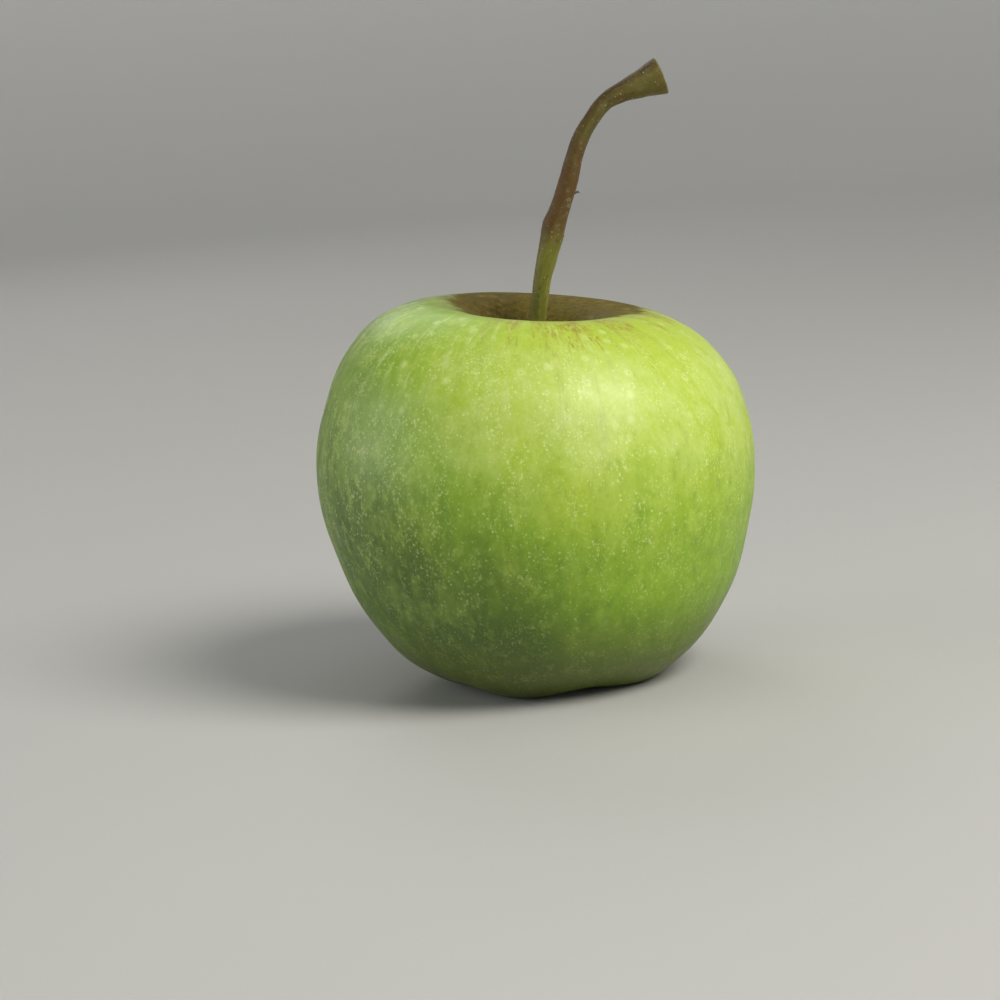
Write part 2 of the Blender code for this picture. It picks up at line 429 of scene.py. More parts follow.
skin = {
    "deepGreen": (0.062, 0.125, 0.006),
    "midGreen": (0.220, 0.395, 0.012),
    "yellowGreen": (0.425, 0.560, 0.034),
    "olive": (0.095, 0.105, 0.014),
    "bloomAndSkyReflection": (0.375, 0.540, 0.075),
    "pale": (0.460, 0.600, 0.085),
    "frostAndSheen": (0.600, 0.720, 0.300),
    "speck": (0.670, 0.780, 0.310),
    "blush": (0.190, 0.095, 0.018),
    "rust": (0.330, 0.225, 0.030),
    "scar": (0.030, 0.025, 0.012),
    "russetDark": (0.044, 0.034, 0.006),
    "russet": (0.115, 0.080, 0.012),
    "russetPale": (0.250, 0.180, 0.040),
    "russetEdge": (0.200, 0.195, 0.034),  # half green, half cork
    "sunSide": (0.78, -0.62, 0.0),
    "backSide": (0.35, 0.94, 0.0),
    "rimAt": 0.0196,  # metres down the skin, from the cavity's floor
    "raggedness": 0.24,  # millimetres that the edges of spots wander
    "roughness": 0.45,
}


def makeSkin():
    material, tree, shader = newMaterial("appleSkin", skin["roughness"], IOR=1.55,
                                         Subsurface_Weight=0.07, Subsurface_Scale=0.002)
    shader.inputs["Subsurface Radius"].default_value = (1.0, 0.9, 0.3)
    point = here(tree)
    grain = ownAttribute(tree, "grain")
    along = parts(tree, grain)["Z"]
    outward = scaled(tree, grain, 1 / fruit["grainRadius"])
    toSun = vecCalc(tree, "DOT_PRODUCT", outward, skin["sunSide"])
    toBack = vecCalc(tree, "DOT_PRODUCT", outward, skin["backSide"])
    level = parts(tree, point)["Z"]
    shaken = scaled(tree, noise(tree, point, 2600.0, 1.0, 0.5, "Color"), skin["raggedness"] * mm)
    ragged = vecCalc(tree, "ADD", point, shaken)

    # ground colour: greener away from the sun, yellower on the sunny shoulder, partly the fruit's own
    # sun-ripened side and partly painted light on the key light's side; darker and greener low down, which is
    # painted shade
    patches = noise(tree, point, 48.0, 3.0, 0.55)
    ripeningAndPaintedLight = total(tree, calc(tree, "MULTIPLY", toSun, 0.50), calc(tree, "MULTIPLY", patches, 0.70),
                  ease(tree, level, 0.000, 0.056, -0.76, 0.13))
    colour = paint(tree, skin["deepGreen"], ease(tree, ripeningAndPaintedLight, -0.24, 0.42), skin["midGreen"])
    colour = paint(tree, colour, ease(tree, ripeningAndPaintedLight, 0.26, 0.84), skin["yellowGreen"])

    # streaks of growth down the meridians, and two sizes of mottle in between
    streaks = noise(tree, stretched(tree, grain, (460.0, 460.0, 110.0)), 1.0, 5.0, 0.62)
    colour = paint(tree, colour, ease(tree, streaks, 0.5, 0.8, 0.0, 0.24), skin["yellowGreen"])
    colour = paint(tree, colour, ease(tree, streaks, 0.5, 0.25, 0.0, 0.20), skin["deepGreen"])
    blotches = noise(tree, stretched(tree, ragged, (1.0, 1.0, 0.7)), 210.0, 4.0, 0.6)
    clear = ease(tree, level, 0.006, 0.034, 0.35, 1.0)  # markings fade towards the basin
    pale = product(tree, ease(tree, blotches, 0.50, 0.68, 0.0, 0.28), clear)
    colour = paint(tree, colour, pale, skin["pale"])
    mottle = noise(tree, stretched(tree, ragged, (1.0, 1.0, 0.7)), 640.0, 5.0, 0.66)
    pale = product(tree, ease(tree, mottle, 0.50, 0.66, 0.0, 0.42), clear)
    colour = paint(tree, colour, pale, skin["pale"])
    dull = product(tree, ease(tree, mottle, 0.48, 0.32, 0.0, 0.22),
                   ease(tree, level, 0.052, 0.030, 0.15, 1.0))
    colour = paint(tree, colour, dull, skin["deepGreen"])

    # olive round the basin
    basin = calc(tree, "ADD", level, calc(tree, "MULTIPLY", patches, -0.012))
    colour = paint(tree, colour, ease(tree, basin, 0.010, -0.006, 0.0, 0.75), skin["olive"])

    # bloom, a pale wax: wiped streaks on the shaded side, partly real wax and partly a painted sky
    # reflection; frosty patches round the shoulder, partly real wax and partly a painted sheen on the key
    # light's side
    wiped = noise(tree, stretched(tree, grain, (240.0, 240.0, 130.0), (4.0, 2.0, 7.0)), 1.0, 5.0, 0.65)
    # painted reflection: the wiped wax is heaviest away from the key light
    bloomAndSkyReflection = product(tree, ease(tree, toSun, 0.5, -0.75, 0.14, 1.0), ease(tree, wiped, 0.36, 0.72, 0.0, 0.34),
                    ease(tree, level, 0.008, 0.030, 0.35, 1.0))
    colour = paint(tree, colour, bloomAndSkyReflection, skin["bloomAndSkyReflection"])
    shoulder = product(tree, ease(tree, along, 0.024, 0.036), ease(tree, along, 0.060, 0.042))
    frosty = total(tree, calc(tree, "MULTIPLY", noise(tree, point, 120.0, 3.0, 0.6), 0.6),
                   calc(tree, "MULTIPLY", mottle, 0.4))
    # painted sheen: the frost is heaviest towards the key light, round the highlight
    frostAndSheen = product(tree, shoulder, ease(tree, frosty, 0.36, 0.64, 0.06, 0.38),
                    ease(tree, toSun, -0.4, 0.7, 0.25, 1.0))
    colour = paint(tree, colour, frostAndSheen, skin["frostAndSheen"])
    brushed = noise(tree, stretched(tree, grain, (620.0, 620.0, 120.0), (6.0, 3.0, 2.0)), 1.0, 4.0, 0.6)
    brushed = product(tree, ease(tree, brushed, 0.54, 0.68, 0.0, 0.40), ease(tree, along, 0.020, 0.025),
                      ease(tree, along, 0.048, 0.034), ease(tree, mottle, 0.36, 0.56, 0.3, 1.0))
    colour = paint(tree, colour, brushed, skin["frostAndSheen"])

    # lenticels: very many fine ones in clusters, with ragged flecks between them
    clusters = noise(tree, stretched(tree, grain, (230.0, 230.0, 140.0), (9.0, 1.0, 2.0)), 1.0, 3.0, 0.6)
    distance, tone = cells(tree, stretched(tree, ragged, (1.0, 1.0, 0.8)), 1850.0)
    chance = parts(tree, tone)
    size = ease(tree, chance["X"], 0.0, 1.0, 0.20, 0.42)
    crowd = calc(tree, "ADD", clusters, calc(tree, "MULTIPLY", chance["Y"], 0.34))
    lower = product(tree, ease(tree, along, 0.021, 0.036, 0.25, 1.0), clear)
    fine = product(tree, ease(tree, distance, size, calc(tree, "MULTIPLY", size, 0.35)),
                   ease(tree, crowd, 0.47, 0.68), lower, ease(tree, chance["Z"], 0.0, 1.0, 0.3, 1.0))
    colour = paint(tree, colour, product(tree, fine, 0.66), skin["speck"])
    crumbs = noise(tree, stretched(tree, ragged, (1.0, 1.0, 0.75), (0.3, 0.1, 0.2)), 2300.0, 3.0, 0.6)
    flecks = product(tree, ease(tree, crumbs, 0.55, 0.66), ease(tree, clusters, 0.42, 0.60, 0.1, 1.0), lower)
    colour = paint(tree, colour, product(tree, flecks, 0.50), skin["speck"])

    # fewer large ones near the shoulder, each a pale halo, some with a brown heart
    distance, tone = cells(tree, stretched(tree, ragged, (1.0, 1.0, 0.85)), 340.0)
    chance = parts(tree, tone)
    band = product(tree, ease(tree, along, 0.020, 0.026), ease(tree, along, 0.056, 0.036, 0.15, 1.0),
                   ease(tree, chance["X"], 0.20, 0.70))
    halo = product(tree, band, ease(tree, distance, 0.32, 0.06))
    heart = product(tree, band, ease(tree, distance, 0.10, 0.04), ease(tree, chance["Y"], 0.35, 0.6))
    colour = paint(tree, colour, product(tree, halo, 0.46), skin["speck"])
    colour = paint(tree, colour, product(tree, heart, 0.36), skin["rust"])

    # rusty mottle and broken brown streaks on the sunny shoulder, in groups
    groups = ease(tree, noise(tree, stretched(tree, grain, (120.0, 120.0, 40.0), (2.0, 6.0, 3.0)), 1.0, 2.0),
                  0.40, 0.54)
    torn = noise(tree, ragged, 520.0, 5.0, 0.7)
    sunBand = product(tree, ease(tree, along, 0.0185, 0.0215), ease(tree, toSun, -0.15, 0.55))
    thin = noise(tree, stretched(tree, grain, (1300.0, 1300.0, 260.0), (3.0, 8.0, 1.0)), 1.0, 5.0, 0.7)
    marks = product(tree, ease(tree, thin, 0.51, 0.60), ease(tree, torn, 0.42, 0.56), sunBand, groups,
                    ease(tree, along, 0.036, 0.025))
    scribble = noise(tree, stretched(tree, grain, (1000.0, 1000.0, 620.0), (1.0, 4.0, 8.0)), 1.0, 6.0, 0.78)
    rusty = product(tree, ease(tree, scribble, 0.47, 0.57), sunBand, groups, ease(tree, along, 0.030, 0.0222))
    colour = paint(tree, colour, product(tree, rusty, 0.95), skin["rust"])
    colour = paint(tree, colour, product(tree, rusty, ease(tree, scribble, 0.60, 0.70), 0.45), skin["blush"])
    colour = paint(tree, colour, product(tree, marks, 0.85), skin["rust"])
    colour = paint(tree, colour, product(tree, marks, ease(tree, thin, 0.58, 0.68), 0.40), skin["blush"])

    # russet fills the cavity, fades out through olive and spills over the rim at the back
    tongues = noise(tree, stretched(tree, grain, (150.0, 150.0, 160.0), (5.0, 5.0, 5.0)), 1.0, 3.0, 0.6)
    frayed = total(tree, calc(tree, "MULTIPLY", noise(tree, ragged, 260.0, 5.0, 0.7), 0.006),
                   calc(tree, "MULTIPLY", tongues, 0.004))
    reach = total(tree, ease(tree, toBack, -0.5, 0.85, 0.0122, 0.0190), frayed)
    beyond = calc(tree, "SUBTRACT", along, reach)
    russet = ease(tree, beyond, 0.0018, -0.0016)
    scurf = noise(tree, point, 1300.0, 5.0, 0.7)
    scales = noise(tree, ragged, 430.0, 4.0, 0.65)
    # painted shade: the russet darkens deeper into the cavity
    cavityShade = ease(tree, along, 0.005, 0.019, 0.26, -0.02)
    lit = ease(tree, calc(tree, "SUBTRACT", scurf, cavityShade), 0.28, 0.56)
    russetColour = paint(tree, skin["russetDark"], lit, skin["russet"])
    russetColour = paint(tree, russetColour, ease(tree, scales, 0.54, 0.72, 0.0, 0.5), skin["russetPale"])
    # partly painted highlight: a pale line of cork along the rim's crest
    offRim = calc(tree, "ABSOLUTE", calc(tree, "SUBTRACT", along, skin["rimAt"]))
    crest = product(tree, ease(tree, offRim, 0.0020, 0.0002), ease(tree, scales, 0.44, 0.66, 0.0, 0.45))
    russetColour = paint(tree, russetColour, crest, skin["russetPale"])
    fading = product(tree, ease(tree, beyond, 0.0060, 0.0), ease(tree, scurf, 0.35, 0.60, 0.25, 0.85))
    colour = paint(tree, colour, product(tree, fading, 0.75), skin["russetEdge"])
    colour = paint(tree, colour, calc(tree, "MULTIPLY", russet, 0.95), russetColour)

    # a few dark scars
    distance, tone = cells(tree, point, 120.0)
    dark = product(tree, ease(tree, distance, 0.035, 0.015), ease(tree, parts(tree, tone)["X"], 0.6, 0.62))
    colour = paint(tree, colour, product(tree, dark, 0.85), skin["scar"])

    plug(tree, shader.inputs["Base Color"], colour)
    rough = total(tree, ease(tree, noise(tree, point, 260.0, 3.0), 0.3, 0.7, 0.39, 0.50),
                  calc(tree, "MULTIPLY", bloomAndSkyReflection, 0.2), calc(tree, "MULTIPLY", russet, 0.28),
                  calc(tree, "MULTIPLY", fine, 0.08))
    plug(tree, shader.inputs["Roughness"], rough)
    plug(tree, shader.inputs["Specular IOR Level"], ease(tree, russet, 0.0, 1.0, 0.5, 0.15))
    bumped(tree, shader, total(tree, product(tree, mottle, 0.05), product(tree, fine, 0.02),
                               product(tree, halo, 0.015), product(tree, streaks, 0.02),
                               product(tree, russet, scurf, 0.16)))
    return material


# Stalk: swept along its route, with bark ridges, its node, lenticels and hairs

stalkPiece = {
    "route": (  # x, y, z and radius in millimetres, from the cavity to the scar
        (-0.3, 0.0, 45.0, 1.5),
        (0.6, 0.1, 49.5, 1.3),
        (2.0, 0.2, 54.5, 1.2),
        (3.1, 0.0, 60.3, 1.3),
        (4.0, -0.1, 63.4, 1.5),
        (5.1, -0.3, 66.9, 1.7),
        (6.0, -0.4, 69.5, 1.55),
        (7.0, -0.5, 72.0, 1.45),
        (8.1, -0.6, 74.9, 1.45),
        (9.1, -0.6, 78.0, 1.28),
        (10.4, -0.5, 81.0, 1.25),
        (12.1, -0.4, 83.5, 1.17),
        (14.4, -0.2, 85.95, 1.26),
        (16.9, 0.0, 87.15, 1.5),
        (19.8, 0.3, 88.1, 2.05),
        (22.8, 0.5, 89.1, 2.85),
    ),
    "rings": 300,
    "sides": 44,
    "ridge": 0.09,
    "wrinkle": 0.10,
    "nodeAt": 24.2,  # millimetres along the stalk
    "nodeWidth": 1.3,
    "nodeKnob": 0.28,
    "scarArea": 12.0,  # square millimetres, less than the far end and more than the foot
    "scarSteps": ((0.14, 0.94), (0.02, 0.86), (-0.32, 0.90), (-0.05, 0.60), (0.16, 0.70), (0.04, 0.60)),
    "bract": (
        (8.3, -0.6, 72.8, 0.30),
        (9.0, -0.7, 73.0, 0.22),
        (9.35, -0.7, 73.05, 0.12),
        (9.6, -0.7, 72.9, 0.04),
    ),
    "warts": ((4.05, -0.9, 68.3, 0.36), (6.6, -0.9, 66.8, 0.26)),
    "hairs": 1.6,  # for each square millimetre
    "hairLength": 0.30,
    "dots": 0.22,
    "dotSize": 0.10,
    "seed": 7,
}


def scattered(tree, surface, density, seed, instance, tilt, size, selection=None):  # copies on a surface
    points = addNode(tree, "GeometryNodeDistributePointsOnFaces",
                     {"Mesh": surface, "Density": density, "Seed": seed})
    if selection is not None:
        plug(tree, points.inputs["Selection"], selection)
    lean = addNode(tree, "FunctionNodeRandomValue", {"Seed": seed}, data_type="FLOAT_VECTOR")
    lean.inputs[0].default_value = (-tilt, -tilt, 0.0)
    lean.inputs[1].default_value = (tilt, tilt, 2 * math.pi)
    turns = {"Rotation": points.outputs["Rotation"], "Rotate By": lean.outputs[0]}
    leaning = addNode(tree, "FunctionNodeRotateRotation", turns, rotation_space="LOCAL")
    scale = addNode(tree, "FunctionNodeRandomValue", {"Seed": 1}, data_type="FLOAT")
    scale.inputs[2].default_value = size
    scale.inputs[3].default_value = 1.0
    copies = addNode(tree, "GeometryNodeInstanceOnPoints", {"Points": points.outputs["Points"],
                     "Instance": instance, "Rotation": leaning.outputs[0], "Scale": scale.outputs[1]})
    return copies.outputs["Instances"]


def hairShape(tree, length):  # a four-sided spike whose foot is on the surface
    cone = addNode(tree, "GeometryNodeMeshCone", {"Vertices": 4, "Side Segments": 2, "Depth": length,
                   "Radius Bottom": 0.022 * mm, "Radius Top": 0.004 * mm}, fill_type="NONE").outputs["Mesh"]
    sunk = joined(tree, 0.0, 0.0, -0.04 * mm)
    return moved(tree, cone, offset=sunk)


def stalkTree(inputs):
    tree, start, end = newTree("stalkAsGrown", inputs)
    resampled = {"Curve": start["Geometry"], "Count": start["Rings"]}
    curve = addNode(tree, "GeometryNodeResampleCurve", resampled).outputs[0]
    spline = addNode(tree, "GeometryNodeSplineParameter").outputs
    curve = stored(tree, curve, "alongStalk", spline["Length"])
    ring = {"Resolution": start["Sides"], "Radius": 1.0}
    circle = stored(tree, addNode(tree, "GeometryNodeCurvePrimitiveCircle", ring).outputs[0],
                    "aroundStalk", spline["Factor"])
    thickness = addNode(tree, "GeometryNodeInputRadius").outputs[0]
    mesh = addNode(tree, "GeometryNodeCurveToMesh", {"Curve": curve, "Profile Curve": circle,
                   "Scale": thickness, "Fill Caps": True}).outputs[0]
    along = named(tree, "alongStalk")
    angle = calc(tree, "MULTIPLY", named(tree, "aroundStalk"), 2 * math.pi)
    grain = joined(tree, product(tree, calc(tree, "COSINE", angle), 1.5 * mm),
                   product(tree, calc(tree, "SINE", angle), 1.5 * mm), along)
    mesh = stored(tree, mesh, "grain", grain, "FLOAT_VECTOR")

    # bark ridges along it, wrinkles and the swelling of the node
    grainHere = named(tree, "grain", "FLOAT_VECTOR")
    ridges = noise(tree, vecCalc(tree, "MULTIPLY", grainHere, (1100.0, 1100.0, 70.0)), 1.0, 2.0)
    wrinkles = noise(tree, vecCalc(tree, "MULTIPLY", grainHere, (500.0, 500.0, 420.0)), 1.0, 2.0)
    normal = addNode(tree, "GeometryNodeInputNormal").outputs[0]
    fromNode = calc(tree, "DIVIDE", calc(tree, "SUBTRACT", along, start["Node At"]), start["Node Width"])
    bell = calc(tree, "EXPONENT", product(tree, fromNode, fromNode, -1.0))
    outer = calc(tree, "MAXIMUM", vecCalc(tree, "DOT_PRODUCT", normal, (-0.93, -0.2, 0.3)), 0.0)
    knob = product(tree, bell, product(tree, outer, outer, outer), start["Node Knob"])
    relief = total(tree, product(tree, calc(tree, "SUBTRACT", ridges, 0.5), start["Ridge"]),
                   product(tree, calc(tree, "SUBTRACT", wrinkles, 0.5), start["Wrinkle"]), knob)
    mesh = moved(tree, mesh, offset=scaled(tree, normal, relief))
    mesh = stored(tree, mesh, "upper", vecCalc(tree, "DOT_PRODUCT", normal, (-0.55, 0.0, 0.83)))

    # the scar: the face at the far end is drawn in, in steps, to a lip, a sunken ring and a core
    area = addNode(tree, "GeometryNodeInputMeshFaceArea").outputs[0]
    chosen = calc(tree, "GREATER_THAN", area, start["Scar Area"])
    mesh = stored(tree, mesh, "scar", chosen, domain="FACE")
    for lift, size in stalkPiece["scarSteps"]:
        drawn = addNode(tree, "GeometryNodeExtrudeMesh",
                        {"Mesh": mesh, "Selection": chosen, "Offset Scale": lift * mm}, mode="FACES").outputs
        chosen = drawn["Top"]
        mesh = addNode(tree, "GeometryNodeScaleElements",
                       {"Geometry": drawn["Mesh"], "Selection": chosen, "Scale": size}).outputs[0]
    mesh = smoothShaded(tree, mesh)

    spike = hairShape(tree, start["Hair Length"])
    hairs = scattered(tree, mesh, start["Hairs"], start["Seed"], spike, 0.7, 0.4)
    ball = {"Radius": start["Dot Size"], "Subdivisions": 1}
    dot = addNode(tree, "GeometryNodeMeshIcoSphere", ball).outputs[0]
    dots = scattered(tree, mesh, start["Dots"], calc(tree, "ADD", start["Seed"], 4), dot, 0.1, 0.5)
    together = addNode(tree, "GeometryNodeJoinGeometry")
    for piece, material in ((dots, "Dot Material"), (hairs, "Hair Material"), (mesh, "Material")):
        tree.links.new(realized(tree, piece, start[material]), together.inputs[0])
    tree.links.new(together.outputs[0], end)
    return tree


def makeStalk(bark, hair, dot):
    points = [(x * mm, y * mm, z * mm) for x, y, z, _ in stalkPiece["route"]]
    radii = [radius * mm for _, _, _, radius in stalkPiece["route"]]
    inputs = {
        "Rings": stalkPiece["rings"],
        "Sides": stalkPiece["sides"],
        "Ridge": stalkPiece["ridge"] * mm,
        "Wrinkle": stalkPiece["wrinkle"] * mm,
        "Node At": stalkPiece["nodeAt"] * mm,
        "Node Width": stalkPiece["nodeWidth"] * mm,
        "Node Knob": stalkPiece["nodeKnob"] * mm,
        "Hairs": stalkPiece["hairs"] / mm**2,
        "Hair Length": stalkPiece["hairLength"] * mm,
        "Dots": stalkPiece["dots"] / mm**2,
        "Dot Size": stalkPiece["dotSize"] * mm,
        "Scar Area": stalkPiece["scarArea"] * mm**2,
        "Seed": stalkPiece["seed"],
        "Material": bark,
        "Hair Material": hair,
        "Dot Material": dot,
    }
    made = plainMesh(smoothCurve("stalk", points, radii, 16), stalkTree(inputs), inputs)
    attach(made, "root")
    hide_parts("stem")
    return made


def makeStalkScales(husk, pale):  # what is left of a small bract, and two warts at the node
    shape = bmesh.new()
    points = [Vector(point[:3]) * mm for point in stalkPiece["bract"]]
    addTube(shape, points, [point[3] * mm for point in stalkPiece["bract"]], 8)
    finished("stalkBract", shape, husk)
    shape = bmesh.new()
    for x, y, z, size in stalkPiece["warts"]:
        addBlob(shape, Vector((x, y, z)) * mm, (size * mm, size * mm, 1.3 * size * mm))
    finished("stalkWarts", shape, pale)


bark = {
    "green": (0.130, 0.150, 0.016),
    "paleGreen": (0.215, 0.225, 0.032),
    "orange": (0.075, 0.040, 0.004),
    "amber": (0.170, 0.088, 0.014),
    "olive": (0.060, 0.048, 0.005),
    "brown": (0.030, 0.018, 0.006),
    "chalk": (0.200, 0.200, 0.110),
    "endOlive": (0.115, 0.108, 0.018),
    "cork": (0.260, 0.200, 0.095),
    "corkDark": (0.090, 0.065, 0.030),
    "roughness": 0.5,
}


def makeBark():
    material, tree, shader = newMaterial("stalkBark", bark["roughness"], IOR=1.45, Subsurface_Weight=0.05)
    point = here(tree)
    place = parts(tree, point)
    grain = ownAttribute(tree, "grain")
    streaks = noise(tree, stretched(tree, grain, (900.0, 900.0, 110.0)), 1.0, 4.0, 0.6)
    colour = paint(tree, bark["green"], ease(tree, streaks, 0.35, 0.65), bark["paleGreen"])
    strips = noise(tree, stretched(tree, grain, (520.0, 520.0, 30.0), (2.0, 2.0, 2.0)), 1.0, 3.0, 0.6)
    colour = paint(tree, colour, ease(tree, strips, 0.50, 0.64, 0.0, 0.7), bark["amber"])

    # brown over the middle, olive from there to the bend, lighter again at the flare
    patches = noise(tree, point, 260.0, 4.0, 0.65)
    upper = ease(tree, place["Z"], 0.073, 0.081)
    aged = product(tree, upper, ease(tree, streaks, 0.30, 0.60, 1.0, 0.82))
    colour = paint(tree, colour, aged, bark["olive"])
    middle = product(tree, ease(tree, place["Z"], 0.0635, 0.0690), ease(tree, place["Z"], 0.0815, 0.0785))
    middle = product(tree, middle, ease(tree, patches, 0.34, 0.52, 0.35, 0.95))
    colour = paint(tree, colour, middle, bark["orange"])
    flare = product(tree, ease(tree, place["X"], 0.0165, 0.0205), ease(tree, streaks, 0.3, 0.6, 0.4, 0.9))
    colour = paint(tree, colour, flare, bark["endOlive"])

    # pale chafed spots in the middle, and freckles everywhere, crowded along the upper edge of the bend
    spots = product(tree, ease(tree, noise(tree, point, 1100.0, 4.0, 0.65), 0.54, 0.66),
                    ease(tree, noise(tree, point, 300.0, 1.0), 0.42, 0.60, 0.15, 1.0),
                    ease(tree, place["Z"], 0.062, 0.070, 0.3, 1.0))
    colour = paint(tree, colour, product(tree, spots, 0.6), bark["chalk"])
    top = ownAttribute(tree, "upper", "Fac")
    freckles = noise(tree, point, 1900.0, 4.0, 0.65)
    colour = paint(tree, colour, ease(tree, freckles, 0.55, 0.72, 0.0, 0.65), bark["brown"])
    edge = product(tree, ease(tree, top, 0.35, 0.85), upper, ease(tree, freckles, 0.38, 0.55, 0.3, 0.9))
    colour = paint(tree, colour, edge, bark["brown"])

    # the scar is cork, darker in its fibres
    fibres = noise(tree, point, 2400.0, 4.0, 0.7)
    cork = paint(tree, bark["corkDark"], ease(tree, fibres, 0.38, 0.60), bark["cork"])
    colour = paint(tree, colour, ownAttribute(tree, "scar", "Fac"), cork)

    plug(tree, shader.inputs["Base Color"], colour)
    plug(tree, shader.inputs["Roughness"], ease(tree, streaks, 0.3, 0.7, 0.44, 0.64))
    bumped(tree, shader, total(tree, product(tree, streaks, 0.10), product(tree, freckles, 0.06),
                               product(tree, fibres, 0.06)))
    return material


def makeFuzz(name, colour):
    material, tree, shader = newMaterial(name, 0.7)
    shade = noise(tree, here(tree), 700.0, 2.0)
    dull = tuple(0.6 * part for part in colour)
    plug(tree, shader.inputs["Base Color"], paint(tree, dull, ease(tree, shade, 0.35, 0.65), colour))
    bumped(tree, shader, product(tree, shade, 0.01))
    return material


# Calyx: five dried sepals round a tuft of withered stamens, all of them woolly

calyx = {
    "rows": 14,
    "columns": 8,
    "thickness": 0.26,
    "width": 2.7,
    "tip": 0.06,  # width at the tip, as a share of the width at the base
    "wrinkle": 0.16,
    "sepalRing": 2.9,
    "hairs": 11.0,
    "hairLength": 0.55,
    "stamens": 16,
    "styles": 5,
    "stamenRadius": 0.11,
    "ring": 0.72,
    "splay": 0.34,
    "cushion": (1.15, 1.15, 0.75),
    "downReach": 5.2,
    "downHairs": 7.0,
    "downLength": 0.8,
    "seed": 17,
}


def woolTree(inputs):
    tree, start, end = newTree("woolly", inputs)
    body = smoothShaded(tree, start["Geometry"])
    spike = hairShape(tree, start["Hair Length"])
    hairs = scattered(tree, body, start["Hairs"], start["Seed"], spike, 1.1, 0.3)
    hairs = realized(tree, hairs, start["Hair Material"])
    body = realized(tree, body, start["Material"])
    together = addNode(tree, "GeometryNodeJoinGeometry")
    tree.links.new(hairs, together.inputs[0])
    tree.links.new(body, together.inputs[0])
    tree.links.new(together.outputs[0], end)
    return tree


def woolly(source, husk, wool, seed, density=1.0):
    inputs = {
        "Hairs": density * calyx["hairs"] / mm**2,
        "Hair Length": calyx["hairLength"] * mm,
        "Seed": seed,
        "Material": husk,
        "Hair Material": wool,
    }
    return plainMesh(source, woolTree(inputs), inputs)


def makeSepal(node, axis, husk, wool, draw):
    low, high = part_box(node)
    middle = (low + high) / 2
    length = (high.z - low.z) * 1.1
    turn = math.atan2(middle.y - axis.y, middle.x - axis.x)
    curl, twist = draw.uniform(1.3, 2.3) * mm, draw.uniform(-0.5, 0.5) * mm
    phase = draw.uniform(0.0, 2 * math.pi)
    shape = bmesh.new()
    grid = []
    for row in range(calyx["rows"] + 1):
        down = row / calyx["rows"]
        width = calyx["width"] * mm * (1 - (1 - calyx["tip"]) * down**1.25)
        lean = curl * down**3 - 0.28 * length * math.sin(0.75 * math.pi * down)
        line = []
        for column in range(calyx["columns"] + 1):
            across = column / calyx["columns"] - 0.5
            crease = math.sin(17.0 * across + 5.0 * down + phase) + 0.6 * math.sin(9.0 * down - 11.0 * across)
            cupped = 0.35 * width * (0.25 - across**2)
            out = lean + cupped + calyx["wrinkle"] * mm * crease * (0.25 + 0.75 * down)
            notch = 1 + 0.05 * math.sin(40.0 * down + phase)
            line.append(shape.verts.new((out, width * across * notch + twist * down**2, -length * down)))
        grid.append(line)
    for above, below in zip(grid, grid[1:]):
        for left in range(calyx["columns"]):
            shape.faces.new((above[left], above[left + 1], below[left + 1], below[left]))
    ring = calyx["sepalRing"] * mm
    place = Vector((ring * math.cos(turn) + axis.x, ring * math.sin(turn) + axis.y, high.z - 0.1 * mm))
    shape.transform(Matrix.Translation(place) @ Matrix.Rotation(turn, 4, "Z"))
    mesh = bpy.data.meshes.new(node)
    shape.to_mesh(mesh)
    shape.free()
    sheet = newObject("dried_" + node, mesh)
    wall = sheet.modifiers.new("thickness", "SOLIDIFY")
    wall.thickness = calyx["thickness"] * mm
    wall.offset = 0.0
    rounded = sheet.modifiers.new("rounding", "SUBSURF")
    rounded.levels = rounded.render_levels = 1
    made = woolly(sheet, husk, wool, draw.randrange(1000))
    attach(made, "root")
    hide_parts(node)
    return made


def downTree(inputs):  # hairs on the part of a surface that lies near the calyx, and nothing else
    tree, start, end = newTree("basinDownAsGrown", inputs)
    place = addNode(tree, "GeometryNodeInputPosition").outputs[0]
    flat = vecCalc(tree, "MULTIPLY", vecCalc(tree, "SUBTRACT", place, start["Axis"]), (1.0, 1.0, 0.0))
    near = calc(tree, "LESS_THAN", vecCalc(tree, "LENGTH", flat), start["Reach"])
    below = calc(tree, "LESS_THAN", parts(tree, place)["Z"], start["Ceiling"])
    hairs = scattered(tree, start["Geometry"], start["Hairs"], start["Seed"],
                      hairShape(tree, start["Hair Length"]), 0.9, 0.3, calc(tree, "MULTIPLY", near, below))
    tree.links.new(realized(tree, hairs, start["Material"]), end)
    return tree


def makeBasinDown(around, axis, wool):
    inputs = {
        "Axis": axis,
        "Reach": calyx["downReach"] * mm,
        "Ceiling": axis.z * 2,
        "Hairs": calyx["downHairs"] / mm**2,
        "Hair Length": calyx["downLength"] * mm,
        "Seed": calyx["seed"],
        "Material": wool,
    }
    made = plainMesh(newObject("basinDown", around.data.copy()), downTree(inputs), inputs)
    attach(made, "root")
    return made


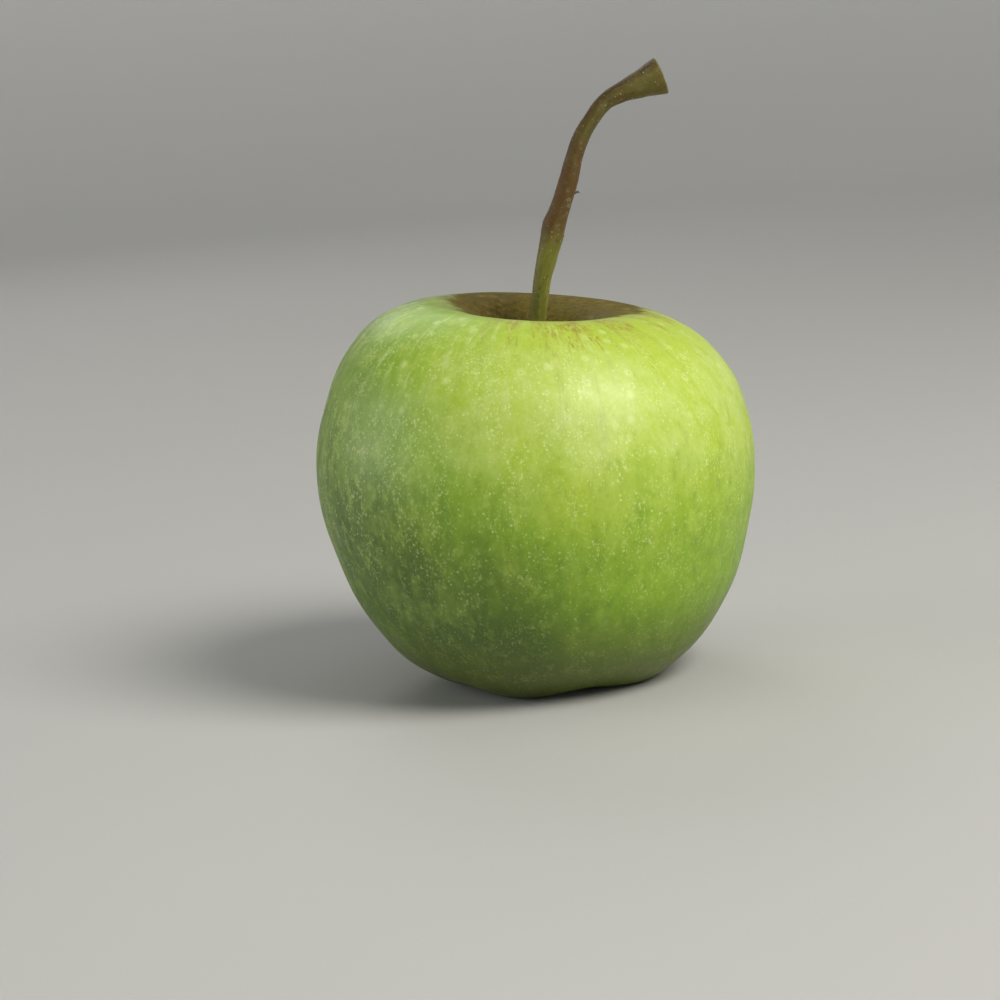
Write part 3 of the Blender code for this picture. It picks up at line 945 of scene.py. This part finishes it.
def makeTuft(husk, wool, draw):
    low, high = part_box("stamen_tuft")
    foot = Vector(((low.x + high.x) / 2, (low.y + high.y) / 2, high.z))
    reach = high.z - low.z
    shape = bmesh.new()
    cushion = Vector(calyx["cushion"]) * mm
    addBlob(shape, foot - Vector((0.0, 0.0, 0.3 * mm)), cushion)
    for vertex in shape.verts:
        vertex.co.z = min(vertex.co.z, foot.z)
    count = calyx["stamens"] + calyx["styles"]
    for number in range(count):
        isStyle = number >= calyx["stamens"]
        share = number / (calyx["styles"] if isStyle else calyx["stamens"])
        angle = 2 * math.pi * share + draw.uniform(-0.2, 0.2)
        ring = calyx["ring"] * mm * (0.35 if isStyle else draw.uniform(0.75, 1.1))
        outward = Vector((math.cos(angle), math.sin(angle), 0.0))
        length = reach * draw.uniform(0.70, 1.0)
        splay = calyx["splay"] * draw.uniform(0.1, 1.0) * (0.4 if isStyle else 1.0)
        sideways = Vector((-outward.y, outward.x, 0.0)) * draw.uniform(-0.35, 0.35) * mm
        points = []
        radii = []
        for step in range(8):
            down = step / 7
            lean = outward * (ring + splay * length * math.sin(1.4 * down))
            drop = Vector((0.0, 0.0, length * (0.05 + 0.92 * down)))
            points.append(foot + lean + sideways * down**2 - drop)
            radii.append(calyx["stamenRadius"] * mm * (1.0 - 0.45 * down))
        addTube(shape, points, radii)
        if not isStyle:  # what is left of the anther, two small lobes
            for lobe in (-1, 1):
                centre = points[-1] + Vector((-outward.y, outward.x, 0.0)) * lobe * 0.11 * mm
                tipped = Matrix.Rotation(draw.uniform(-0.5, 0.5), 4, "X")
                addBlob(shape, centre, (0.13 * mm, 0.13 * mm, 0.26 * mm), tipped)
    mesh = bpy.data.meshes.new("stamens")
    shape.to_mesh(mesh)
    shape.free()
    made = woolly(newObject("witheredStamens", mesh), husk, wool, draw.randrange(1000), 0.35)
    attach(made, "root")
    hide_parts("stamen_tuft")
    return made


husk = {
    "brown": (0.110, 0.070, 0.032),
    "dark": (0.035, 0.022, 0.012),
    "tan": (0.250, 0.180, 0.095),
    "roughness": 0.85,
}


def makeHusk():
    material, tree, shader = newMaterial("driedHusk", husk["roughness"], IOR=1.4)
    point = here(tree)
    veins = noise(tree, stretched(tree, point, (2600.0, 2600.0, 500.0)), 1.0, 4.0, 0.65)
    patches = noise(tree, point, 900.0, 3.0)
    colour = paint(tree, husk["dark"], ease(tree, veins, 0.35, 0.6), husk["brown"])
    colour = paint(tree, colour, ease(tree, patches, 0.5, 0.72, 0.0, 0.8), husk["tan"])
    plug(tree, shader.inputs["Base Color"], colour)
    plug(tree, shader.inputs["Roughness"], ease(tree, patches, 0.3, 0.7, 0.75, 0.95))
    bumped(tree, shader, product(tree, veins, 0.10))
    return material


# Floor, lights and camera

room = {
    "floorColour": (0.50, 0.50, 0.49),
    "wallColour": (0.80, 0.80, 0.785),
    "glow": 0.11,  # painted light: the far paper and the foot of the wall glow, as if lit from behind
    "radius": 0.95,
    "wall": 1.1,
    "corner": 0.35,
    "cornerSteps": 24,
    "around": 96,
    "worldColour": (0.95, 0.96, 0.96),
    "worldStrength": 0.07,
}
lights = (  # name, direction and distance from the fruit's middle, width, watts, colour
    ("keyLight", (0.56, -0.46, 0.70), 0.75, 0.42, 5.75, (1.0, 0.97, 0.90)),
    ("fillLight", (-0.97, 0.02, 0.22), 0.8, 0.60, 1.85, (0.96, 0.98, 1.0)),
    ("aboveLight", (0.0, 0.0, 1.0), 1.4, 1.2, 2.0, (1.0, 1.0, 0.98)),
    ("backLight", (-0.25, 0.80, 0.60), 0.8, 0.45, 1.0, (1.0, 0.99, 0.96)),
)
camera = {
    "distance": 0.420,
    "elevation": 10.2,
    "roll": 4.5,
    "lens": 99.7,
    "aim": (-0.00579, -0.00167),  # right and up of the fruit's middle
}


def makeFloor():
    corner = room["corner"]
    steps = room["cornerSteps"]
    mesh = bpy.data.meshes.new("floor")
    shape = bmesh.new()
    flat = [(room["radius"] * step / 12, 0.0) for step in range(13)]
    bend = [
        (room["radius"] + corner * math.sin(turn), corner * (1 - math.cos(turn)))
        for turn in (math.pi / 2 * step / steps for step in range(1, steps + 1))
    ]
    line = [shape.verts.new((x, 0.0, z)) for x, z in flat + bend + [(room["radius"] + corner, room["wall"])]]
    edges = [shape.edges.new(pair) for pair in zip(line, line[1:])]
    bmesh.ops.spin(shape, geom=line + edges, cent=(0, 0, 0), axis=(0, 0, 1),
                   angle=2 * math.pi, steps=room["around"], use_merge=True)
    bmesh.ops.remove_doubles(shape, verts=shape.verts, dist=1e-5)
    bmesh.ops.recalc_face_normals(shape, faces=shape.faces)
    shape.to_mesh(mesh)
    shape.free()
    mesh.shade_smooth()
    floor = newObject("floor", mesh)
    material, tree, shader = newMaterial("floorPaper", 0.75)
    point = here(tree)
    tone = noise(tree, point, 6.0, 3.0)
    colour = paint(tree, tuple(0.96 * part for part in room["floorColour"]), tone, room["floorColour"])
    rise = parts(tree, point)["Z"]
    # painted light: paler up the wall, which the lamps reach too little
    colour = paint(tree, colour, ease(tree, rise, 0.0, 0.30), room["wallColour"])
    plug(tree, shader.inputs["Base Color"], colour)
    # painted light: the far floor and the foot of the wall glow though no lamp is there
    away = vecCalc(tree, "LENGTH", vecCalc(tree, "MULTIPLY", point, (1.0, 1.0, 0.0)))
    glow = product(tree, ease(tree, away, 0.45, 1.15), ease(tree, rise, 0.60, 0.15), room["glow"])
    shader.inputs["Emission Color"].default_value = (*room["wallColour"], 1.0)
    plug(tree, shader.inputs["Emission Strength"], glow)
    bumped(tree, shader, product(tree, noise(tree, point, 1200.0, 2.0), 0.02))
    mesh.materials.append(material)


def addLight(name, place, target, size, power, colour):
    lamp = bpy.data.lights.new(name, "AREA")
    lamp.shape = "DISK"
    lamp.size = size
    lamp.energy = power
    lamp.color = colour
    made = newObject(name, lamp)
    made.location = place
    made.rotation_euler = (target - Vector(place)).to_track_quat("-Z", "Y").to_euler()
    return made


def makeLights(middle):
    for name, towards, away, size, power, colour in lights:
        addLight(name, middle + Vector(towards) * away, middle, size, power, colour)
    world = bpy.data.worlds.new("studio")
    bpy.context.scene.world = world
    world.use_nodes = True
    back = world.node_tree.nodes["Background"]
    back.inputs["Color"].default_value = (*room["worldColour"], 1.0)
    back.inputs["Strength"].default_value = room["worldStrength"]


def makeCamera(middle):
    lens = bpy.data.cameras.new("camera")
    lens.lens = camera["lens"]
    lens.sensor_width = 36.0
    lens.clip_start, lens.clip_end = 0.01, 20.0
    made = newObject("camera", lens)
    tilt = math.radians(camera["elevation"])
    turned = Matrix.Rotation(math.pi / 2 - tilt, 4, "X")  # level, looking along +Y and down
    right, up, back = (turned.to_3x3() @ Vector(axis) for axis in ((1, 0, 0), (0, 1, 0), (0, 0, 1)))
    aim = middle + right * camera["aim"][0] + up * camera["aim"][1]
    rolled = turned @ Matrix.Rotation(math.radians(-camera["roll"]), 4, "Z")
    made.matrix_world = Matrix.Translation(aim + back * camera["distance"]) @ rolled
    bpy.context.scene.camera = made


def main():
    low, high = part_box("fruit")
    middle = Vector((0.0, 0.0, high.z / 2))
    makeFloor()
    makeLights(middle)
    makeCamera(middle)
    print("floor, lights and camera are in")
    whole = makeFruit(makeSkin())
    print("fruit:", len(whole.data.polygons), "faces")
    hair = makeFuzz("stalkHair", (0.30, 0.22, 0.10))
    dot = makeFuzz("stalkDot", (0.50, 0.50, 0.30))
    dry = makeHusk()
    made = makeStalk(makeBark(), hair, dot)
    makeStalkScales(dry, makeFuzz("stalkWart", (0.17, 0.17, 0.06)))
    print("stalk:", len(made.data.polygons), "faces")
    wool = makeFuzz("calyxWool", (0.34, 0.29, 0.21))
    low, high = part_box("stamen_tuft")
    axis = (low + high) / 2
    draw = random.Random(calyx["seed"])
    for number in range(fruit["lobes"]):
        makeSepal(f"sepal_{number + 1}", axis, dry, wool, draw)
    made = makeTuft(dry, wool, draw)
    down = makeBasinDown(whole, axis, wool)
    print("calyx: tuft of", len(made.data.polygons), "faces and", len(down.data.polygons), "of down")
    bpy.context.scene.view_settings.view_transform = "Standard"


main()
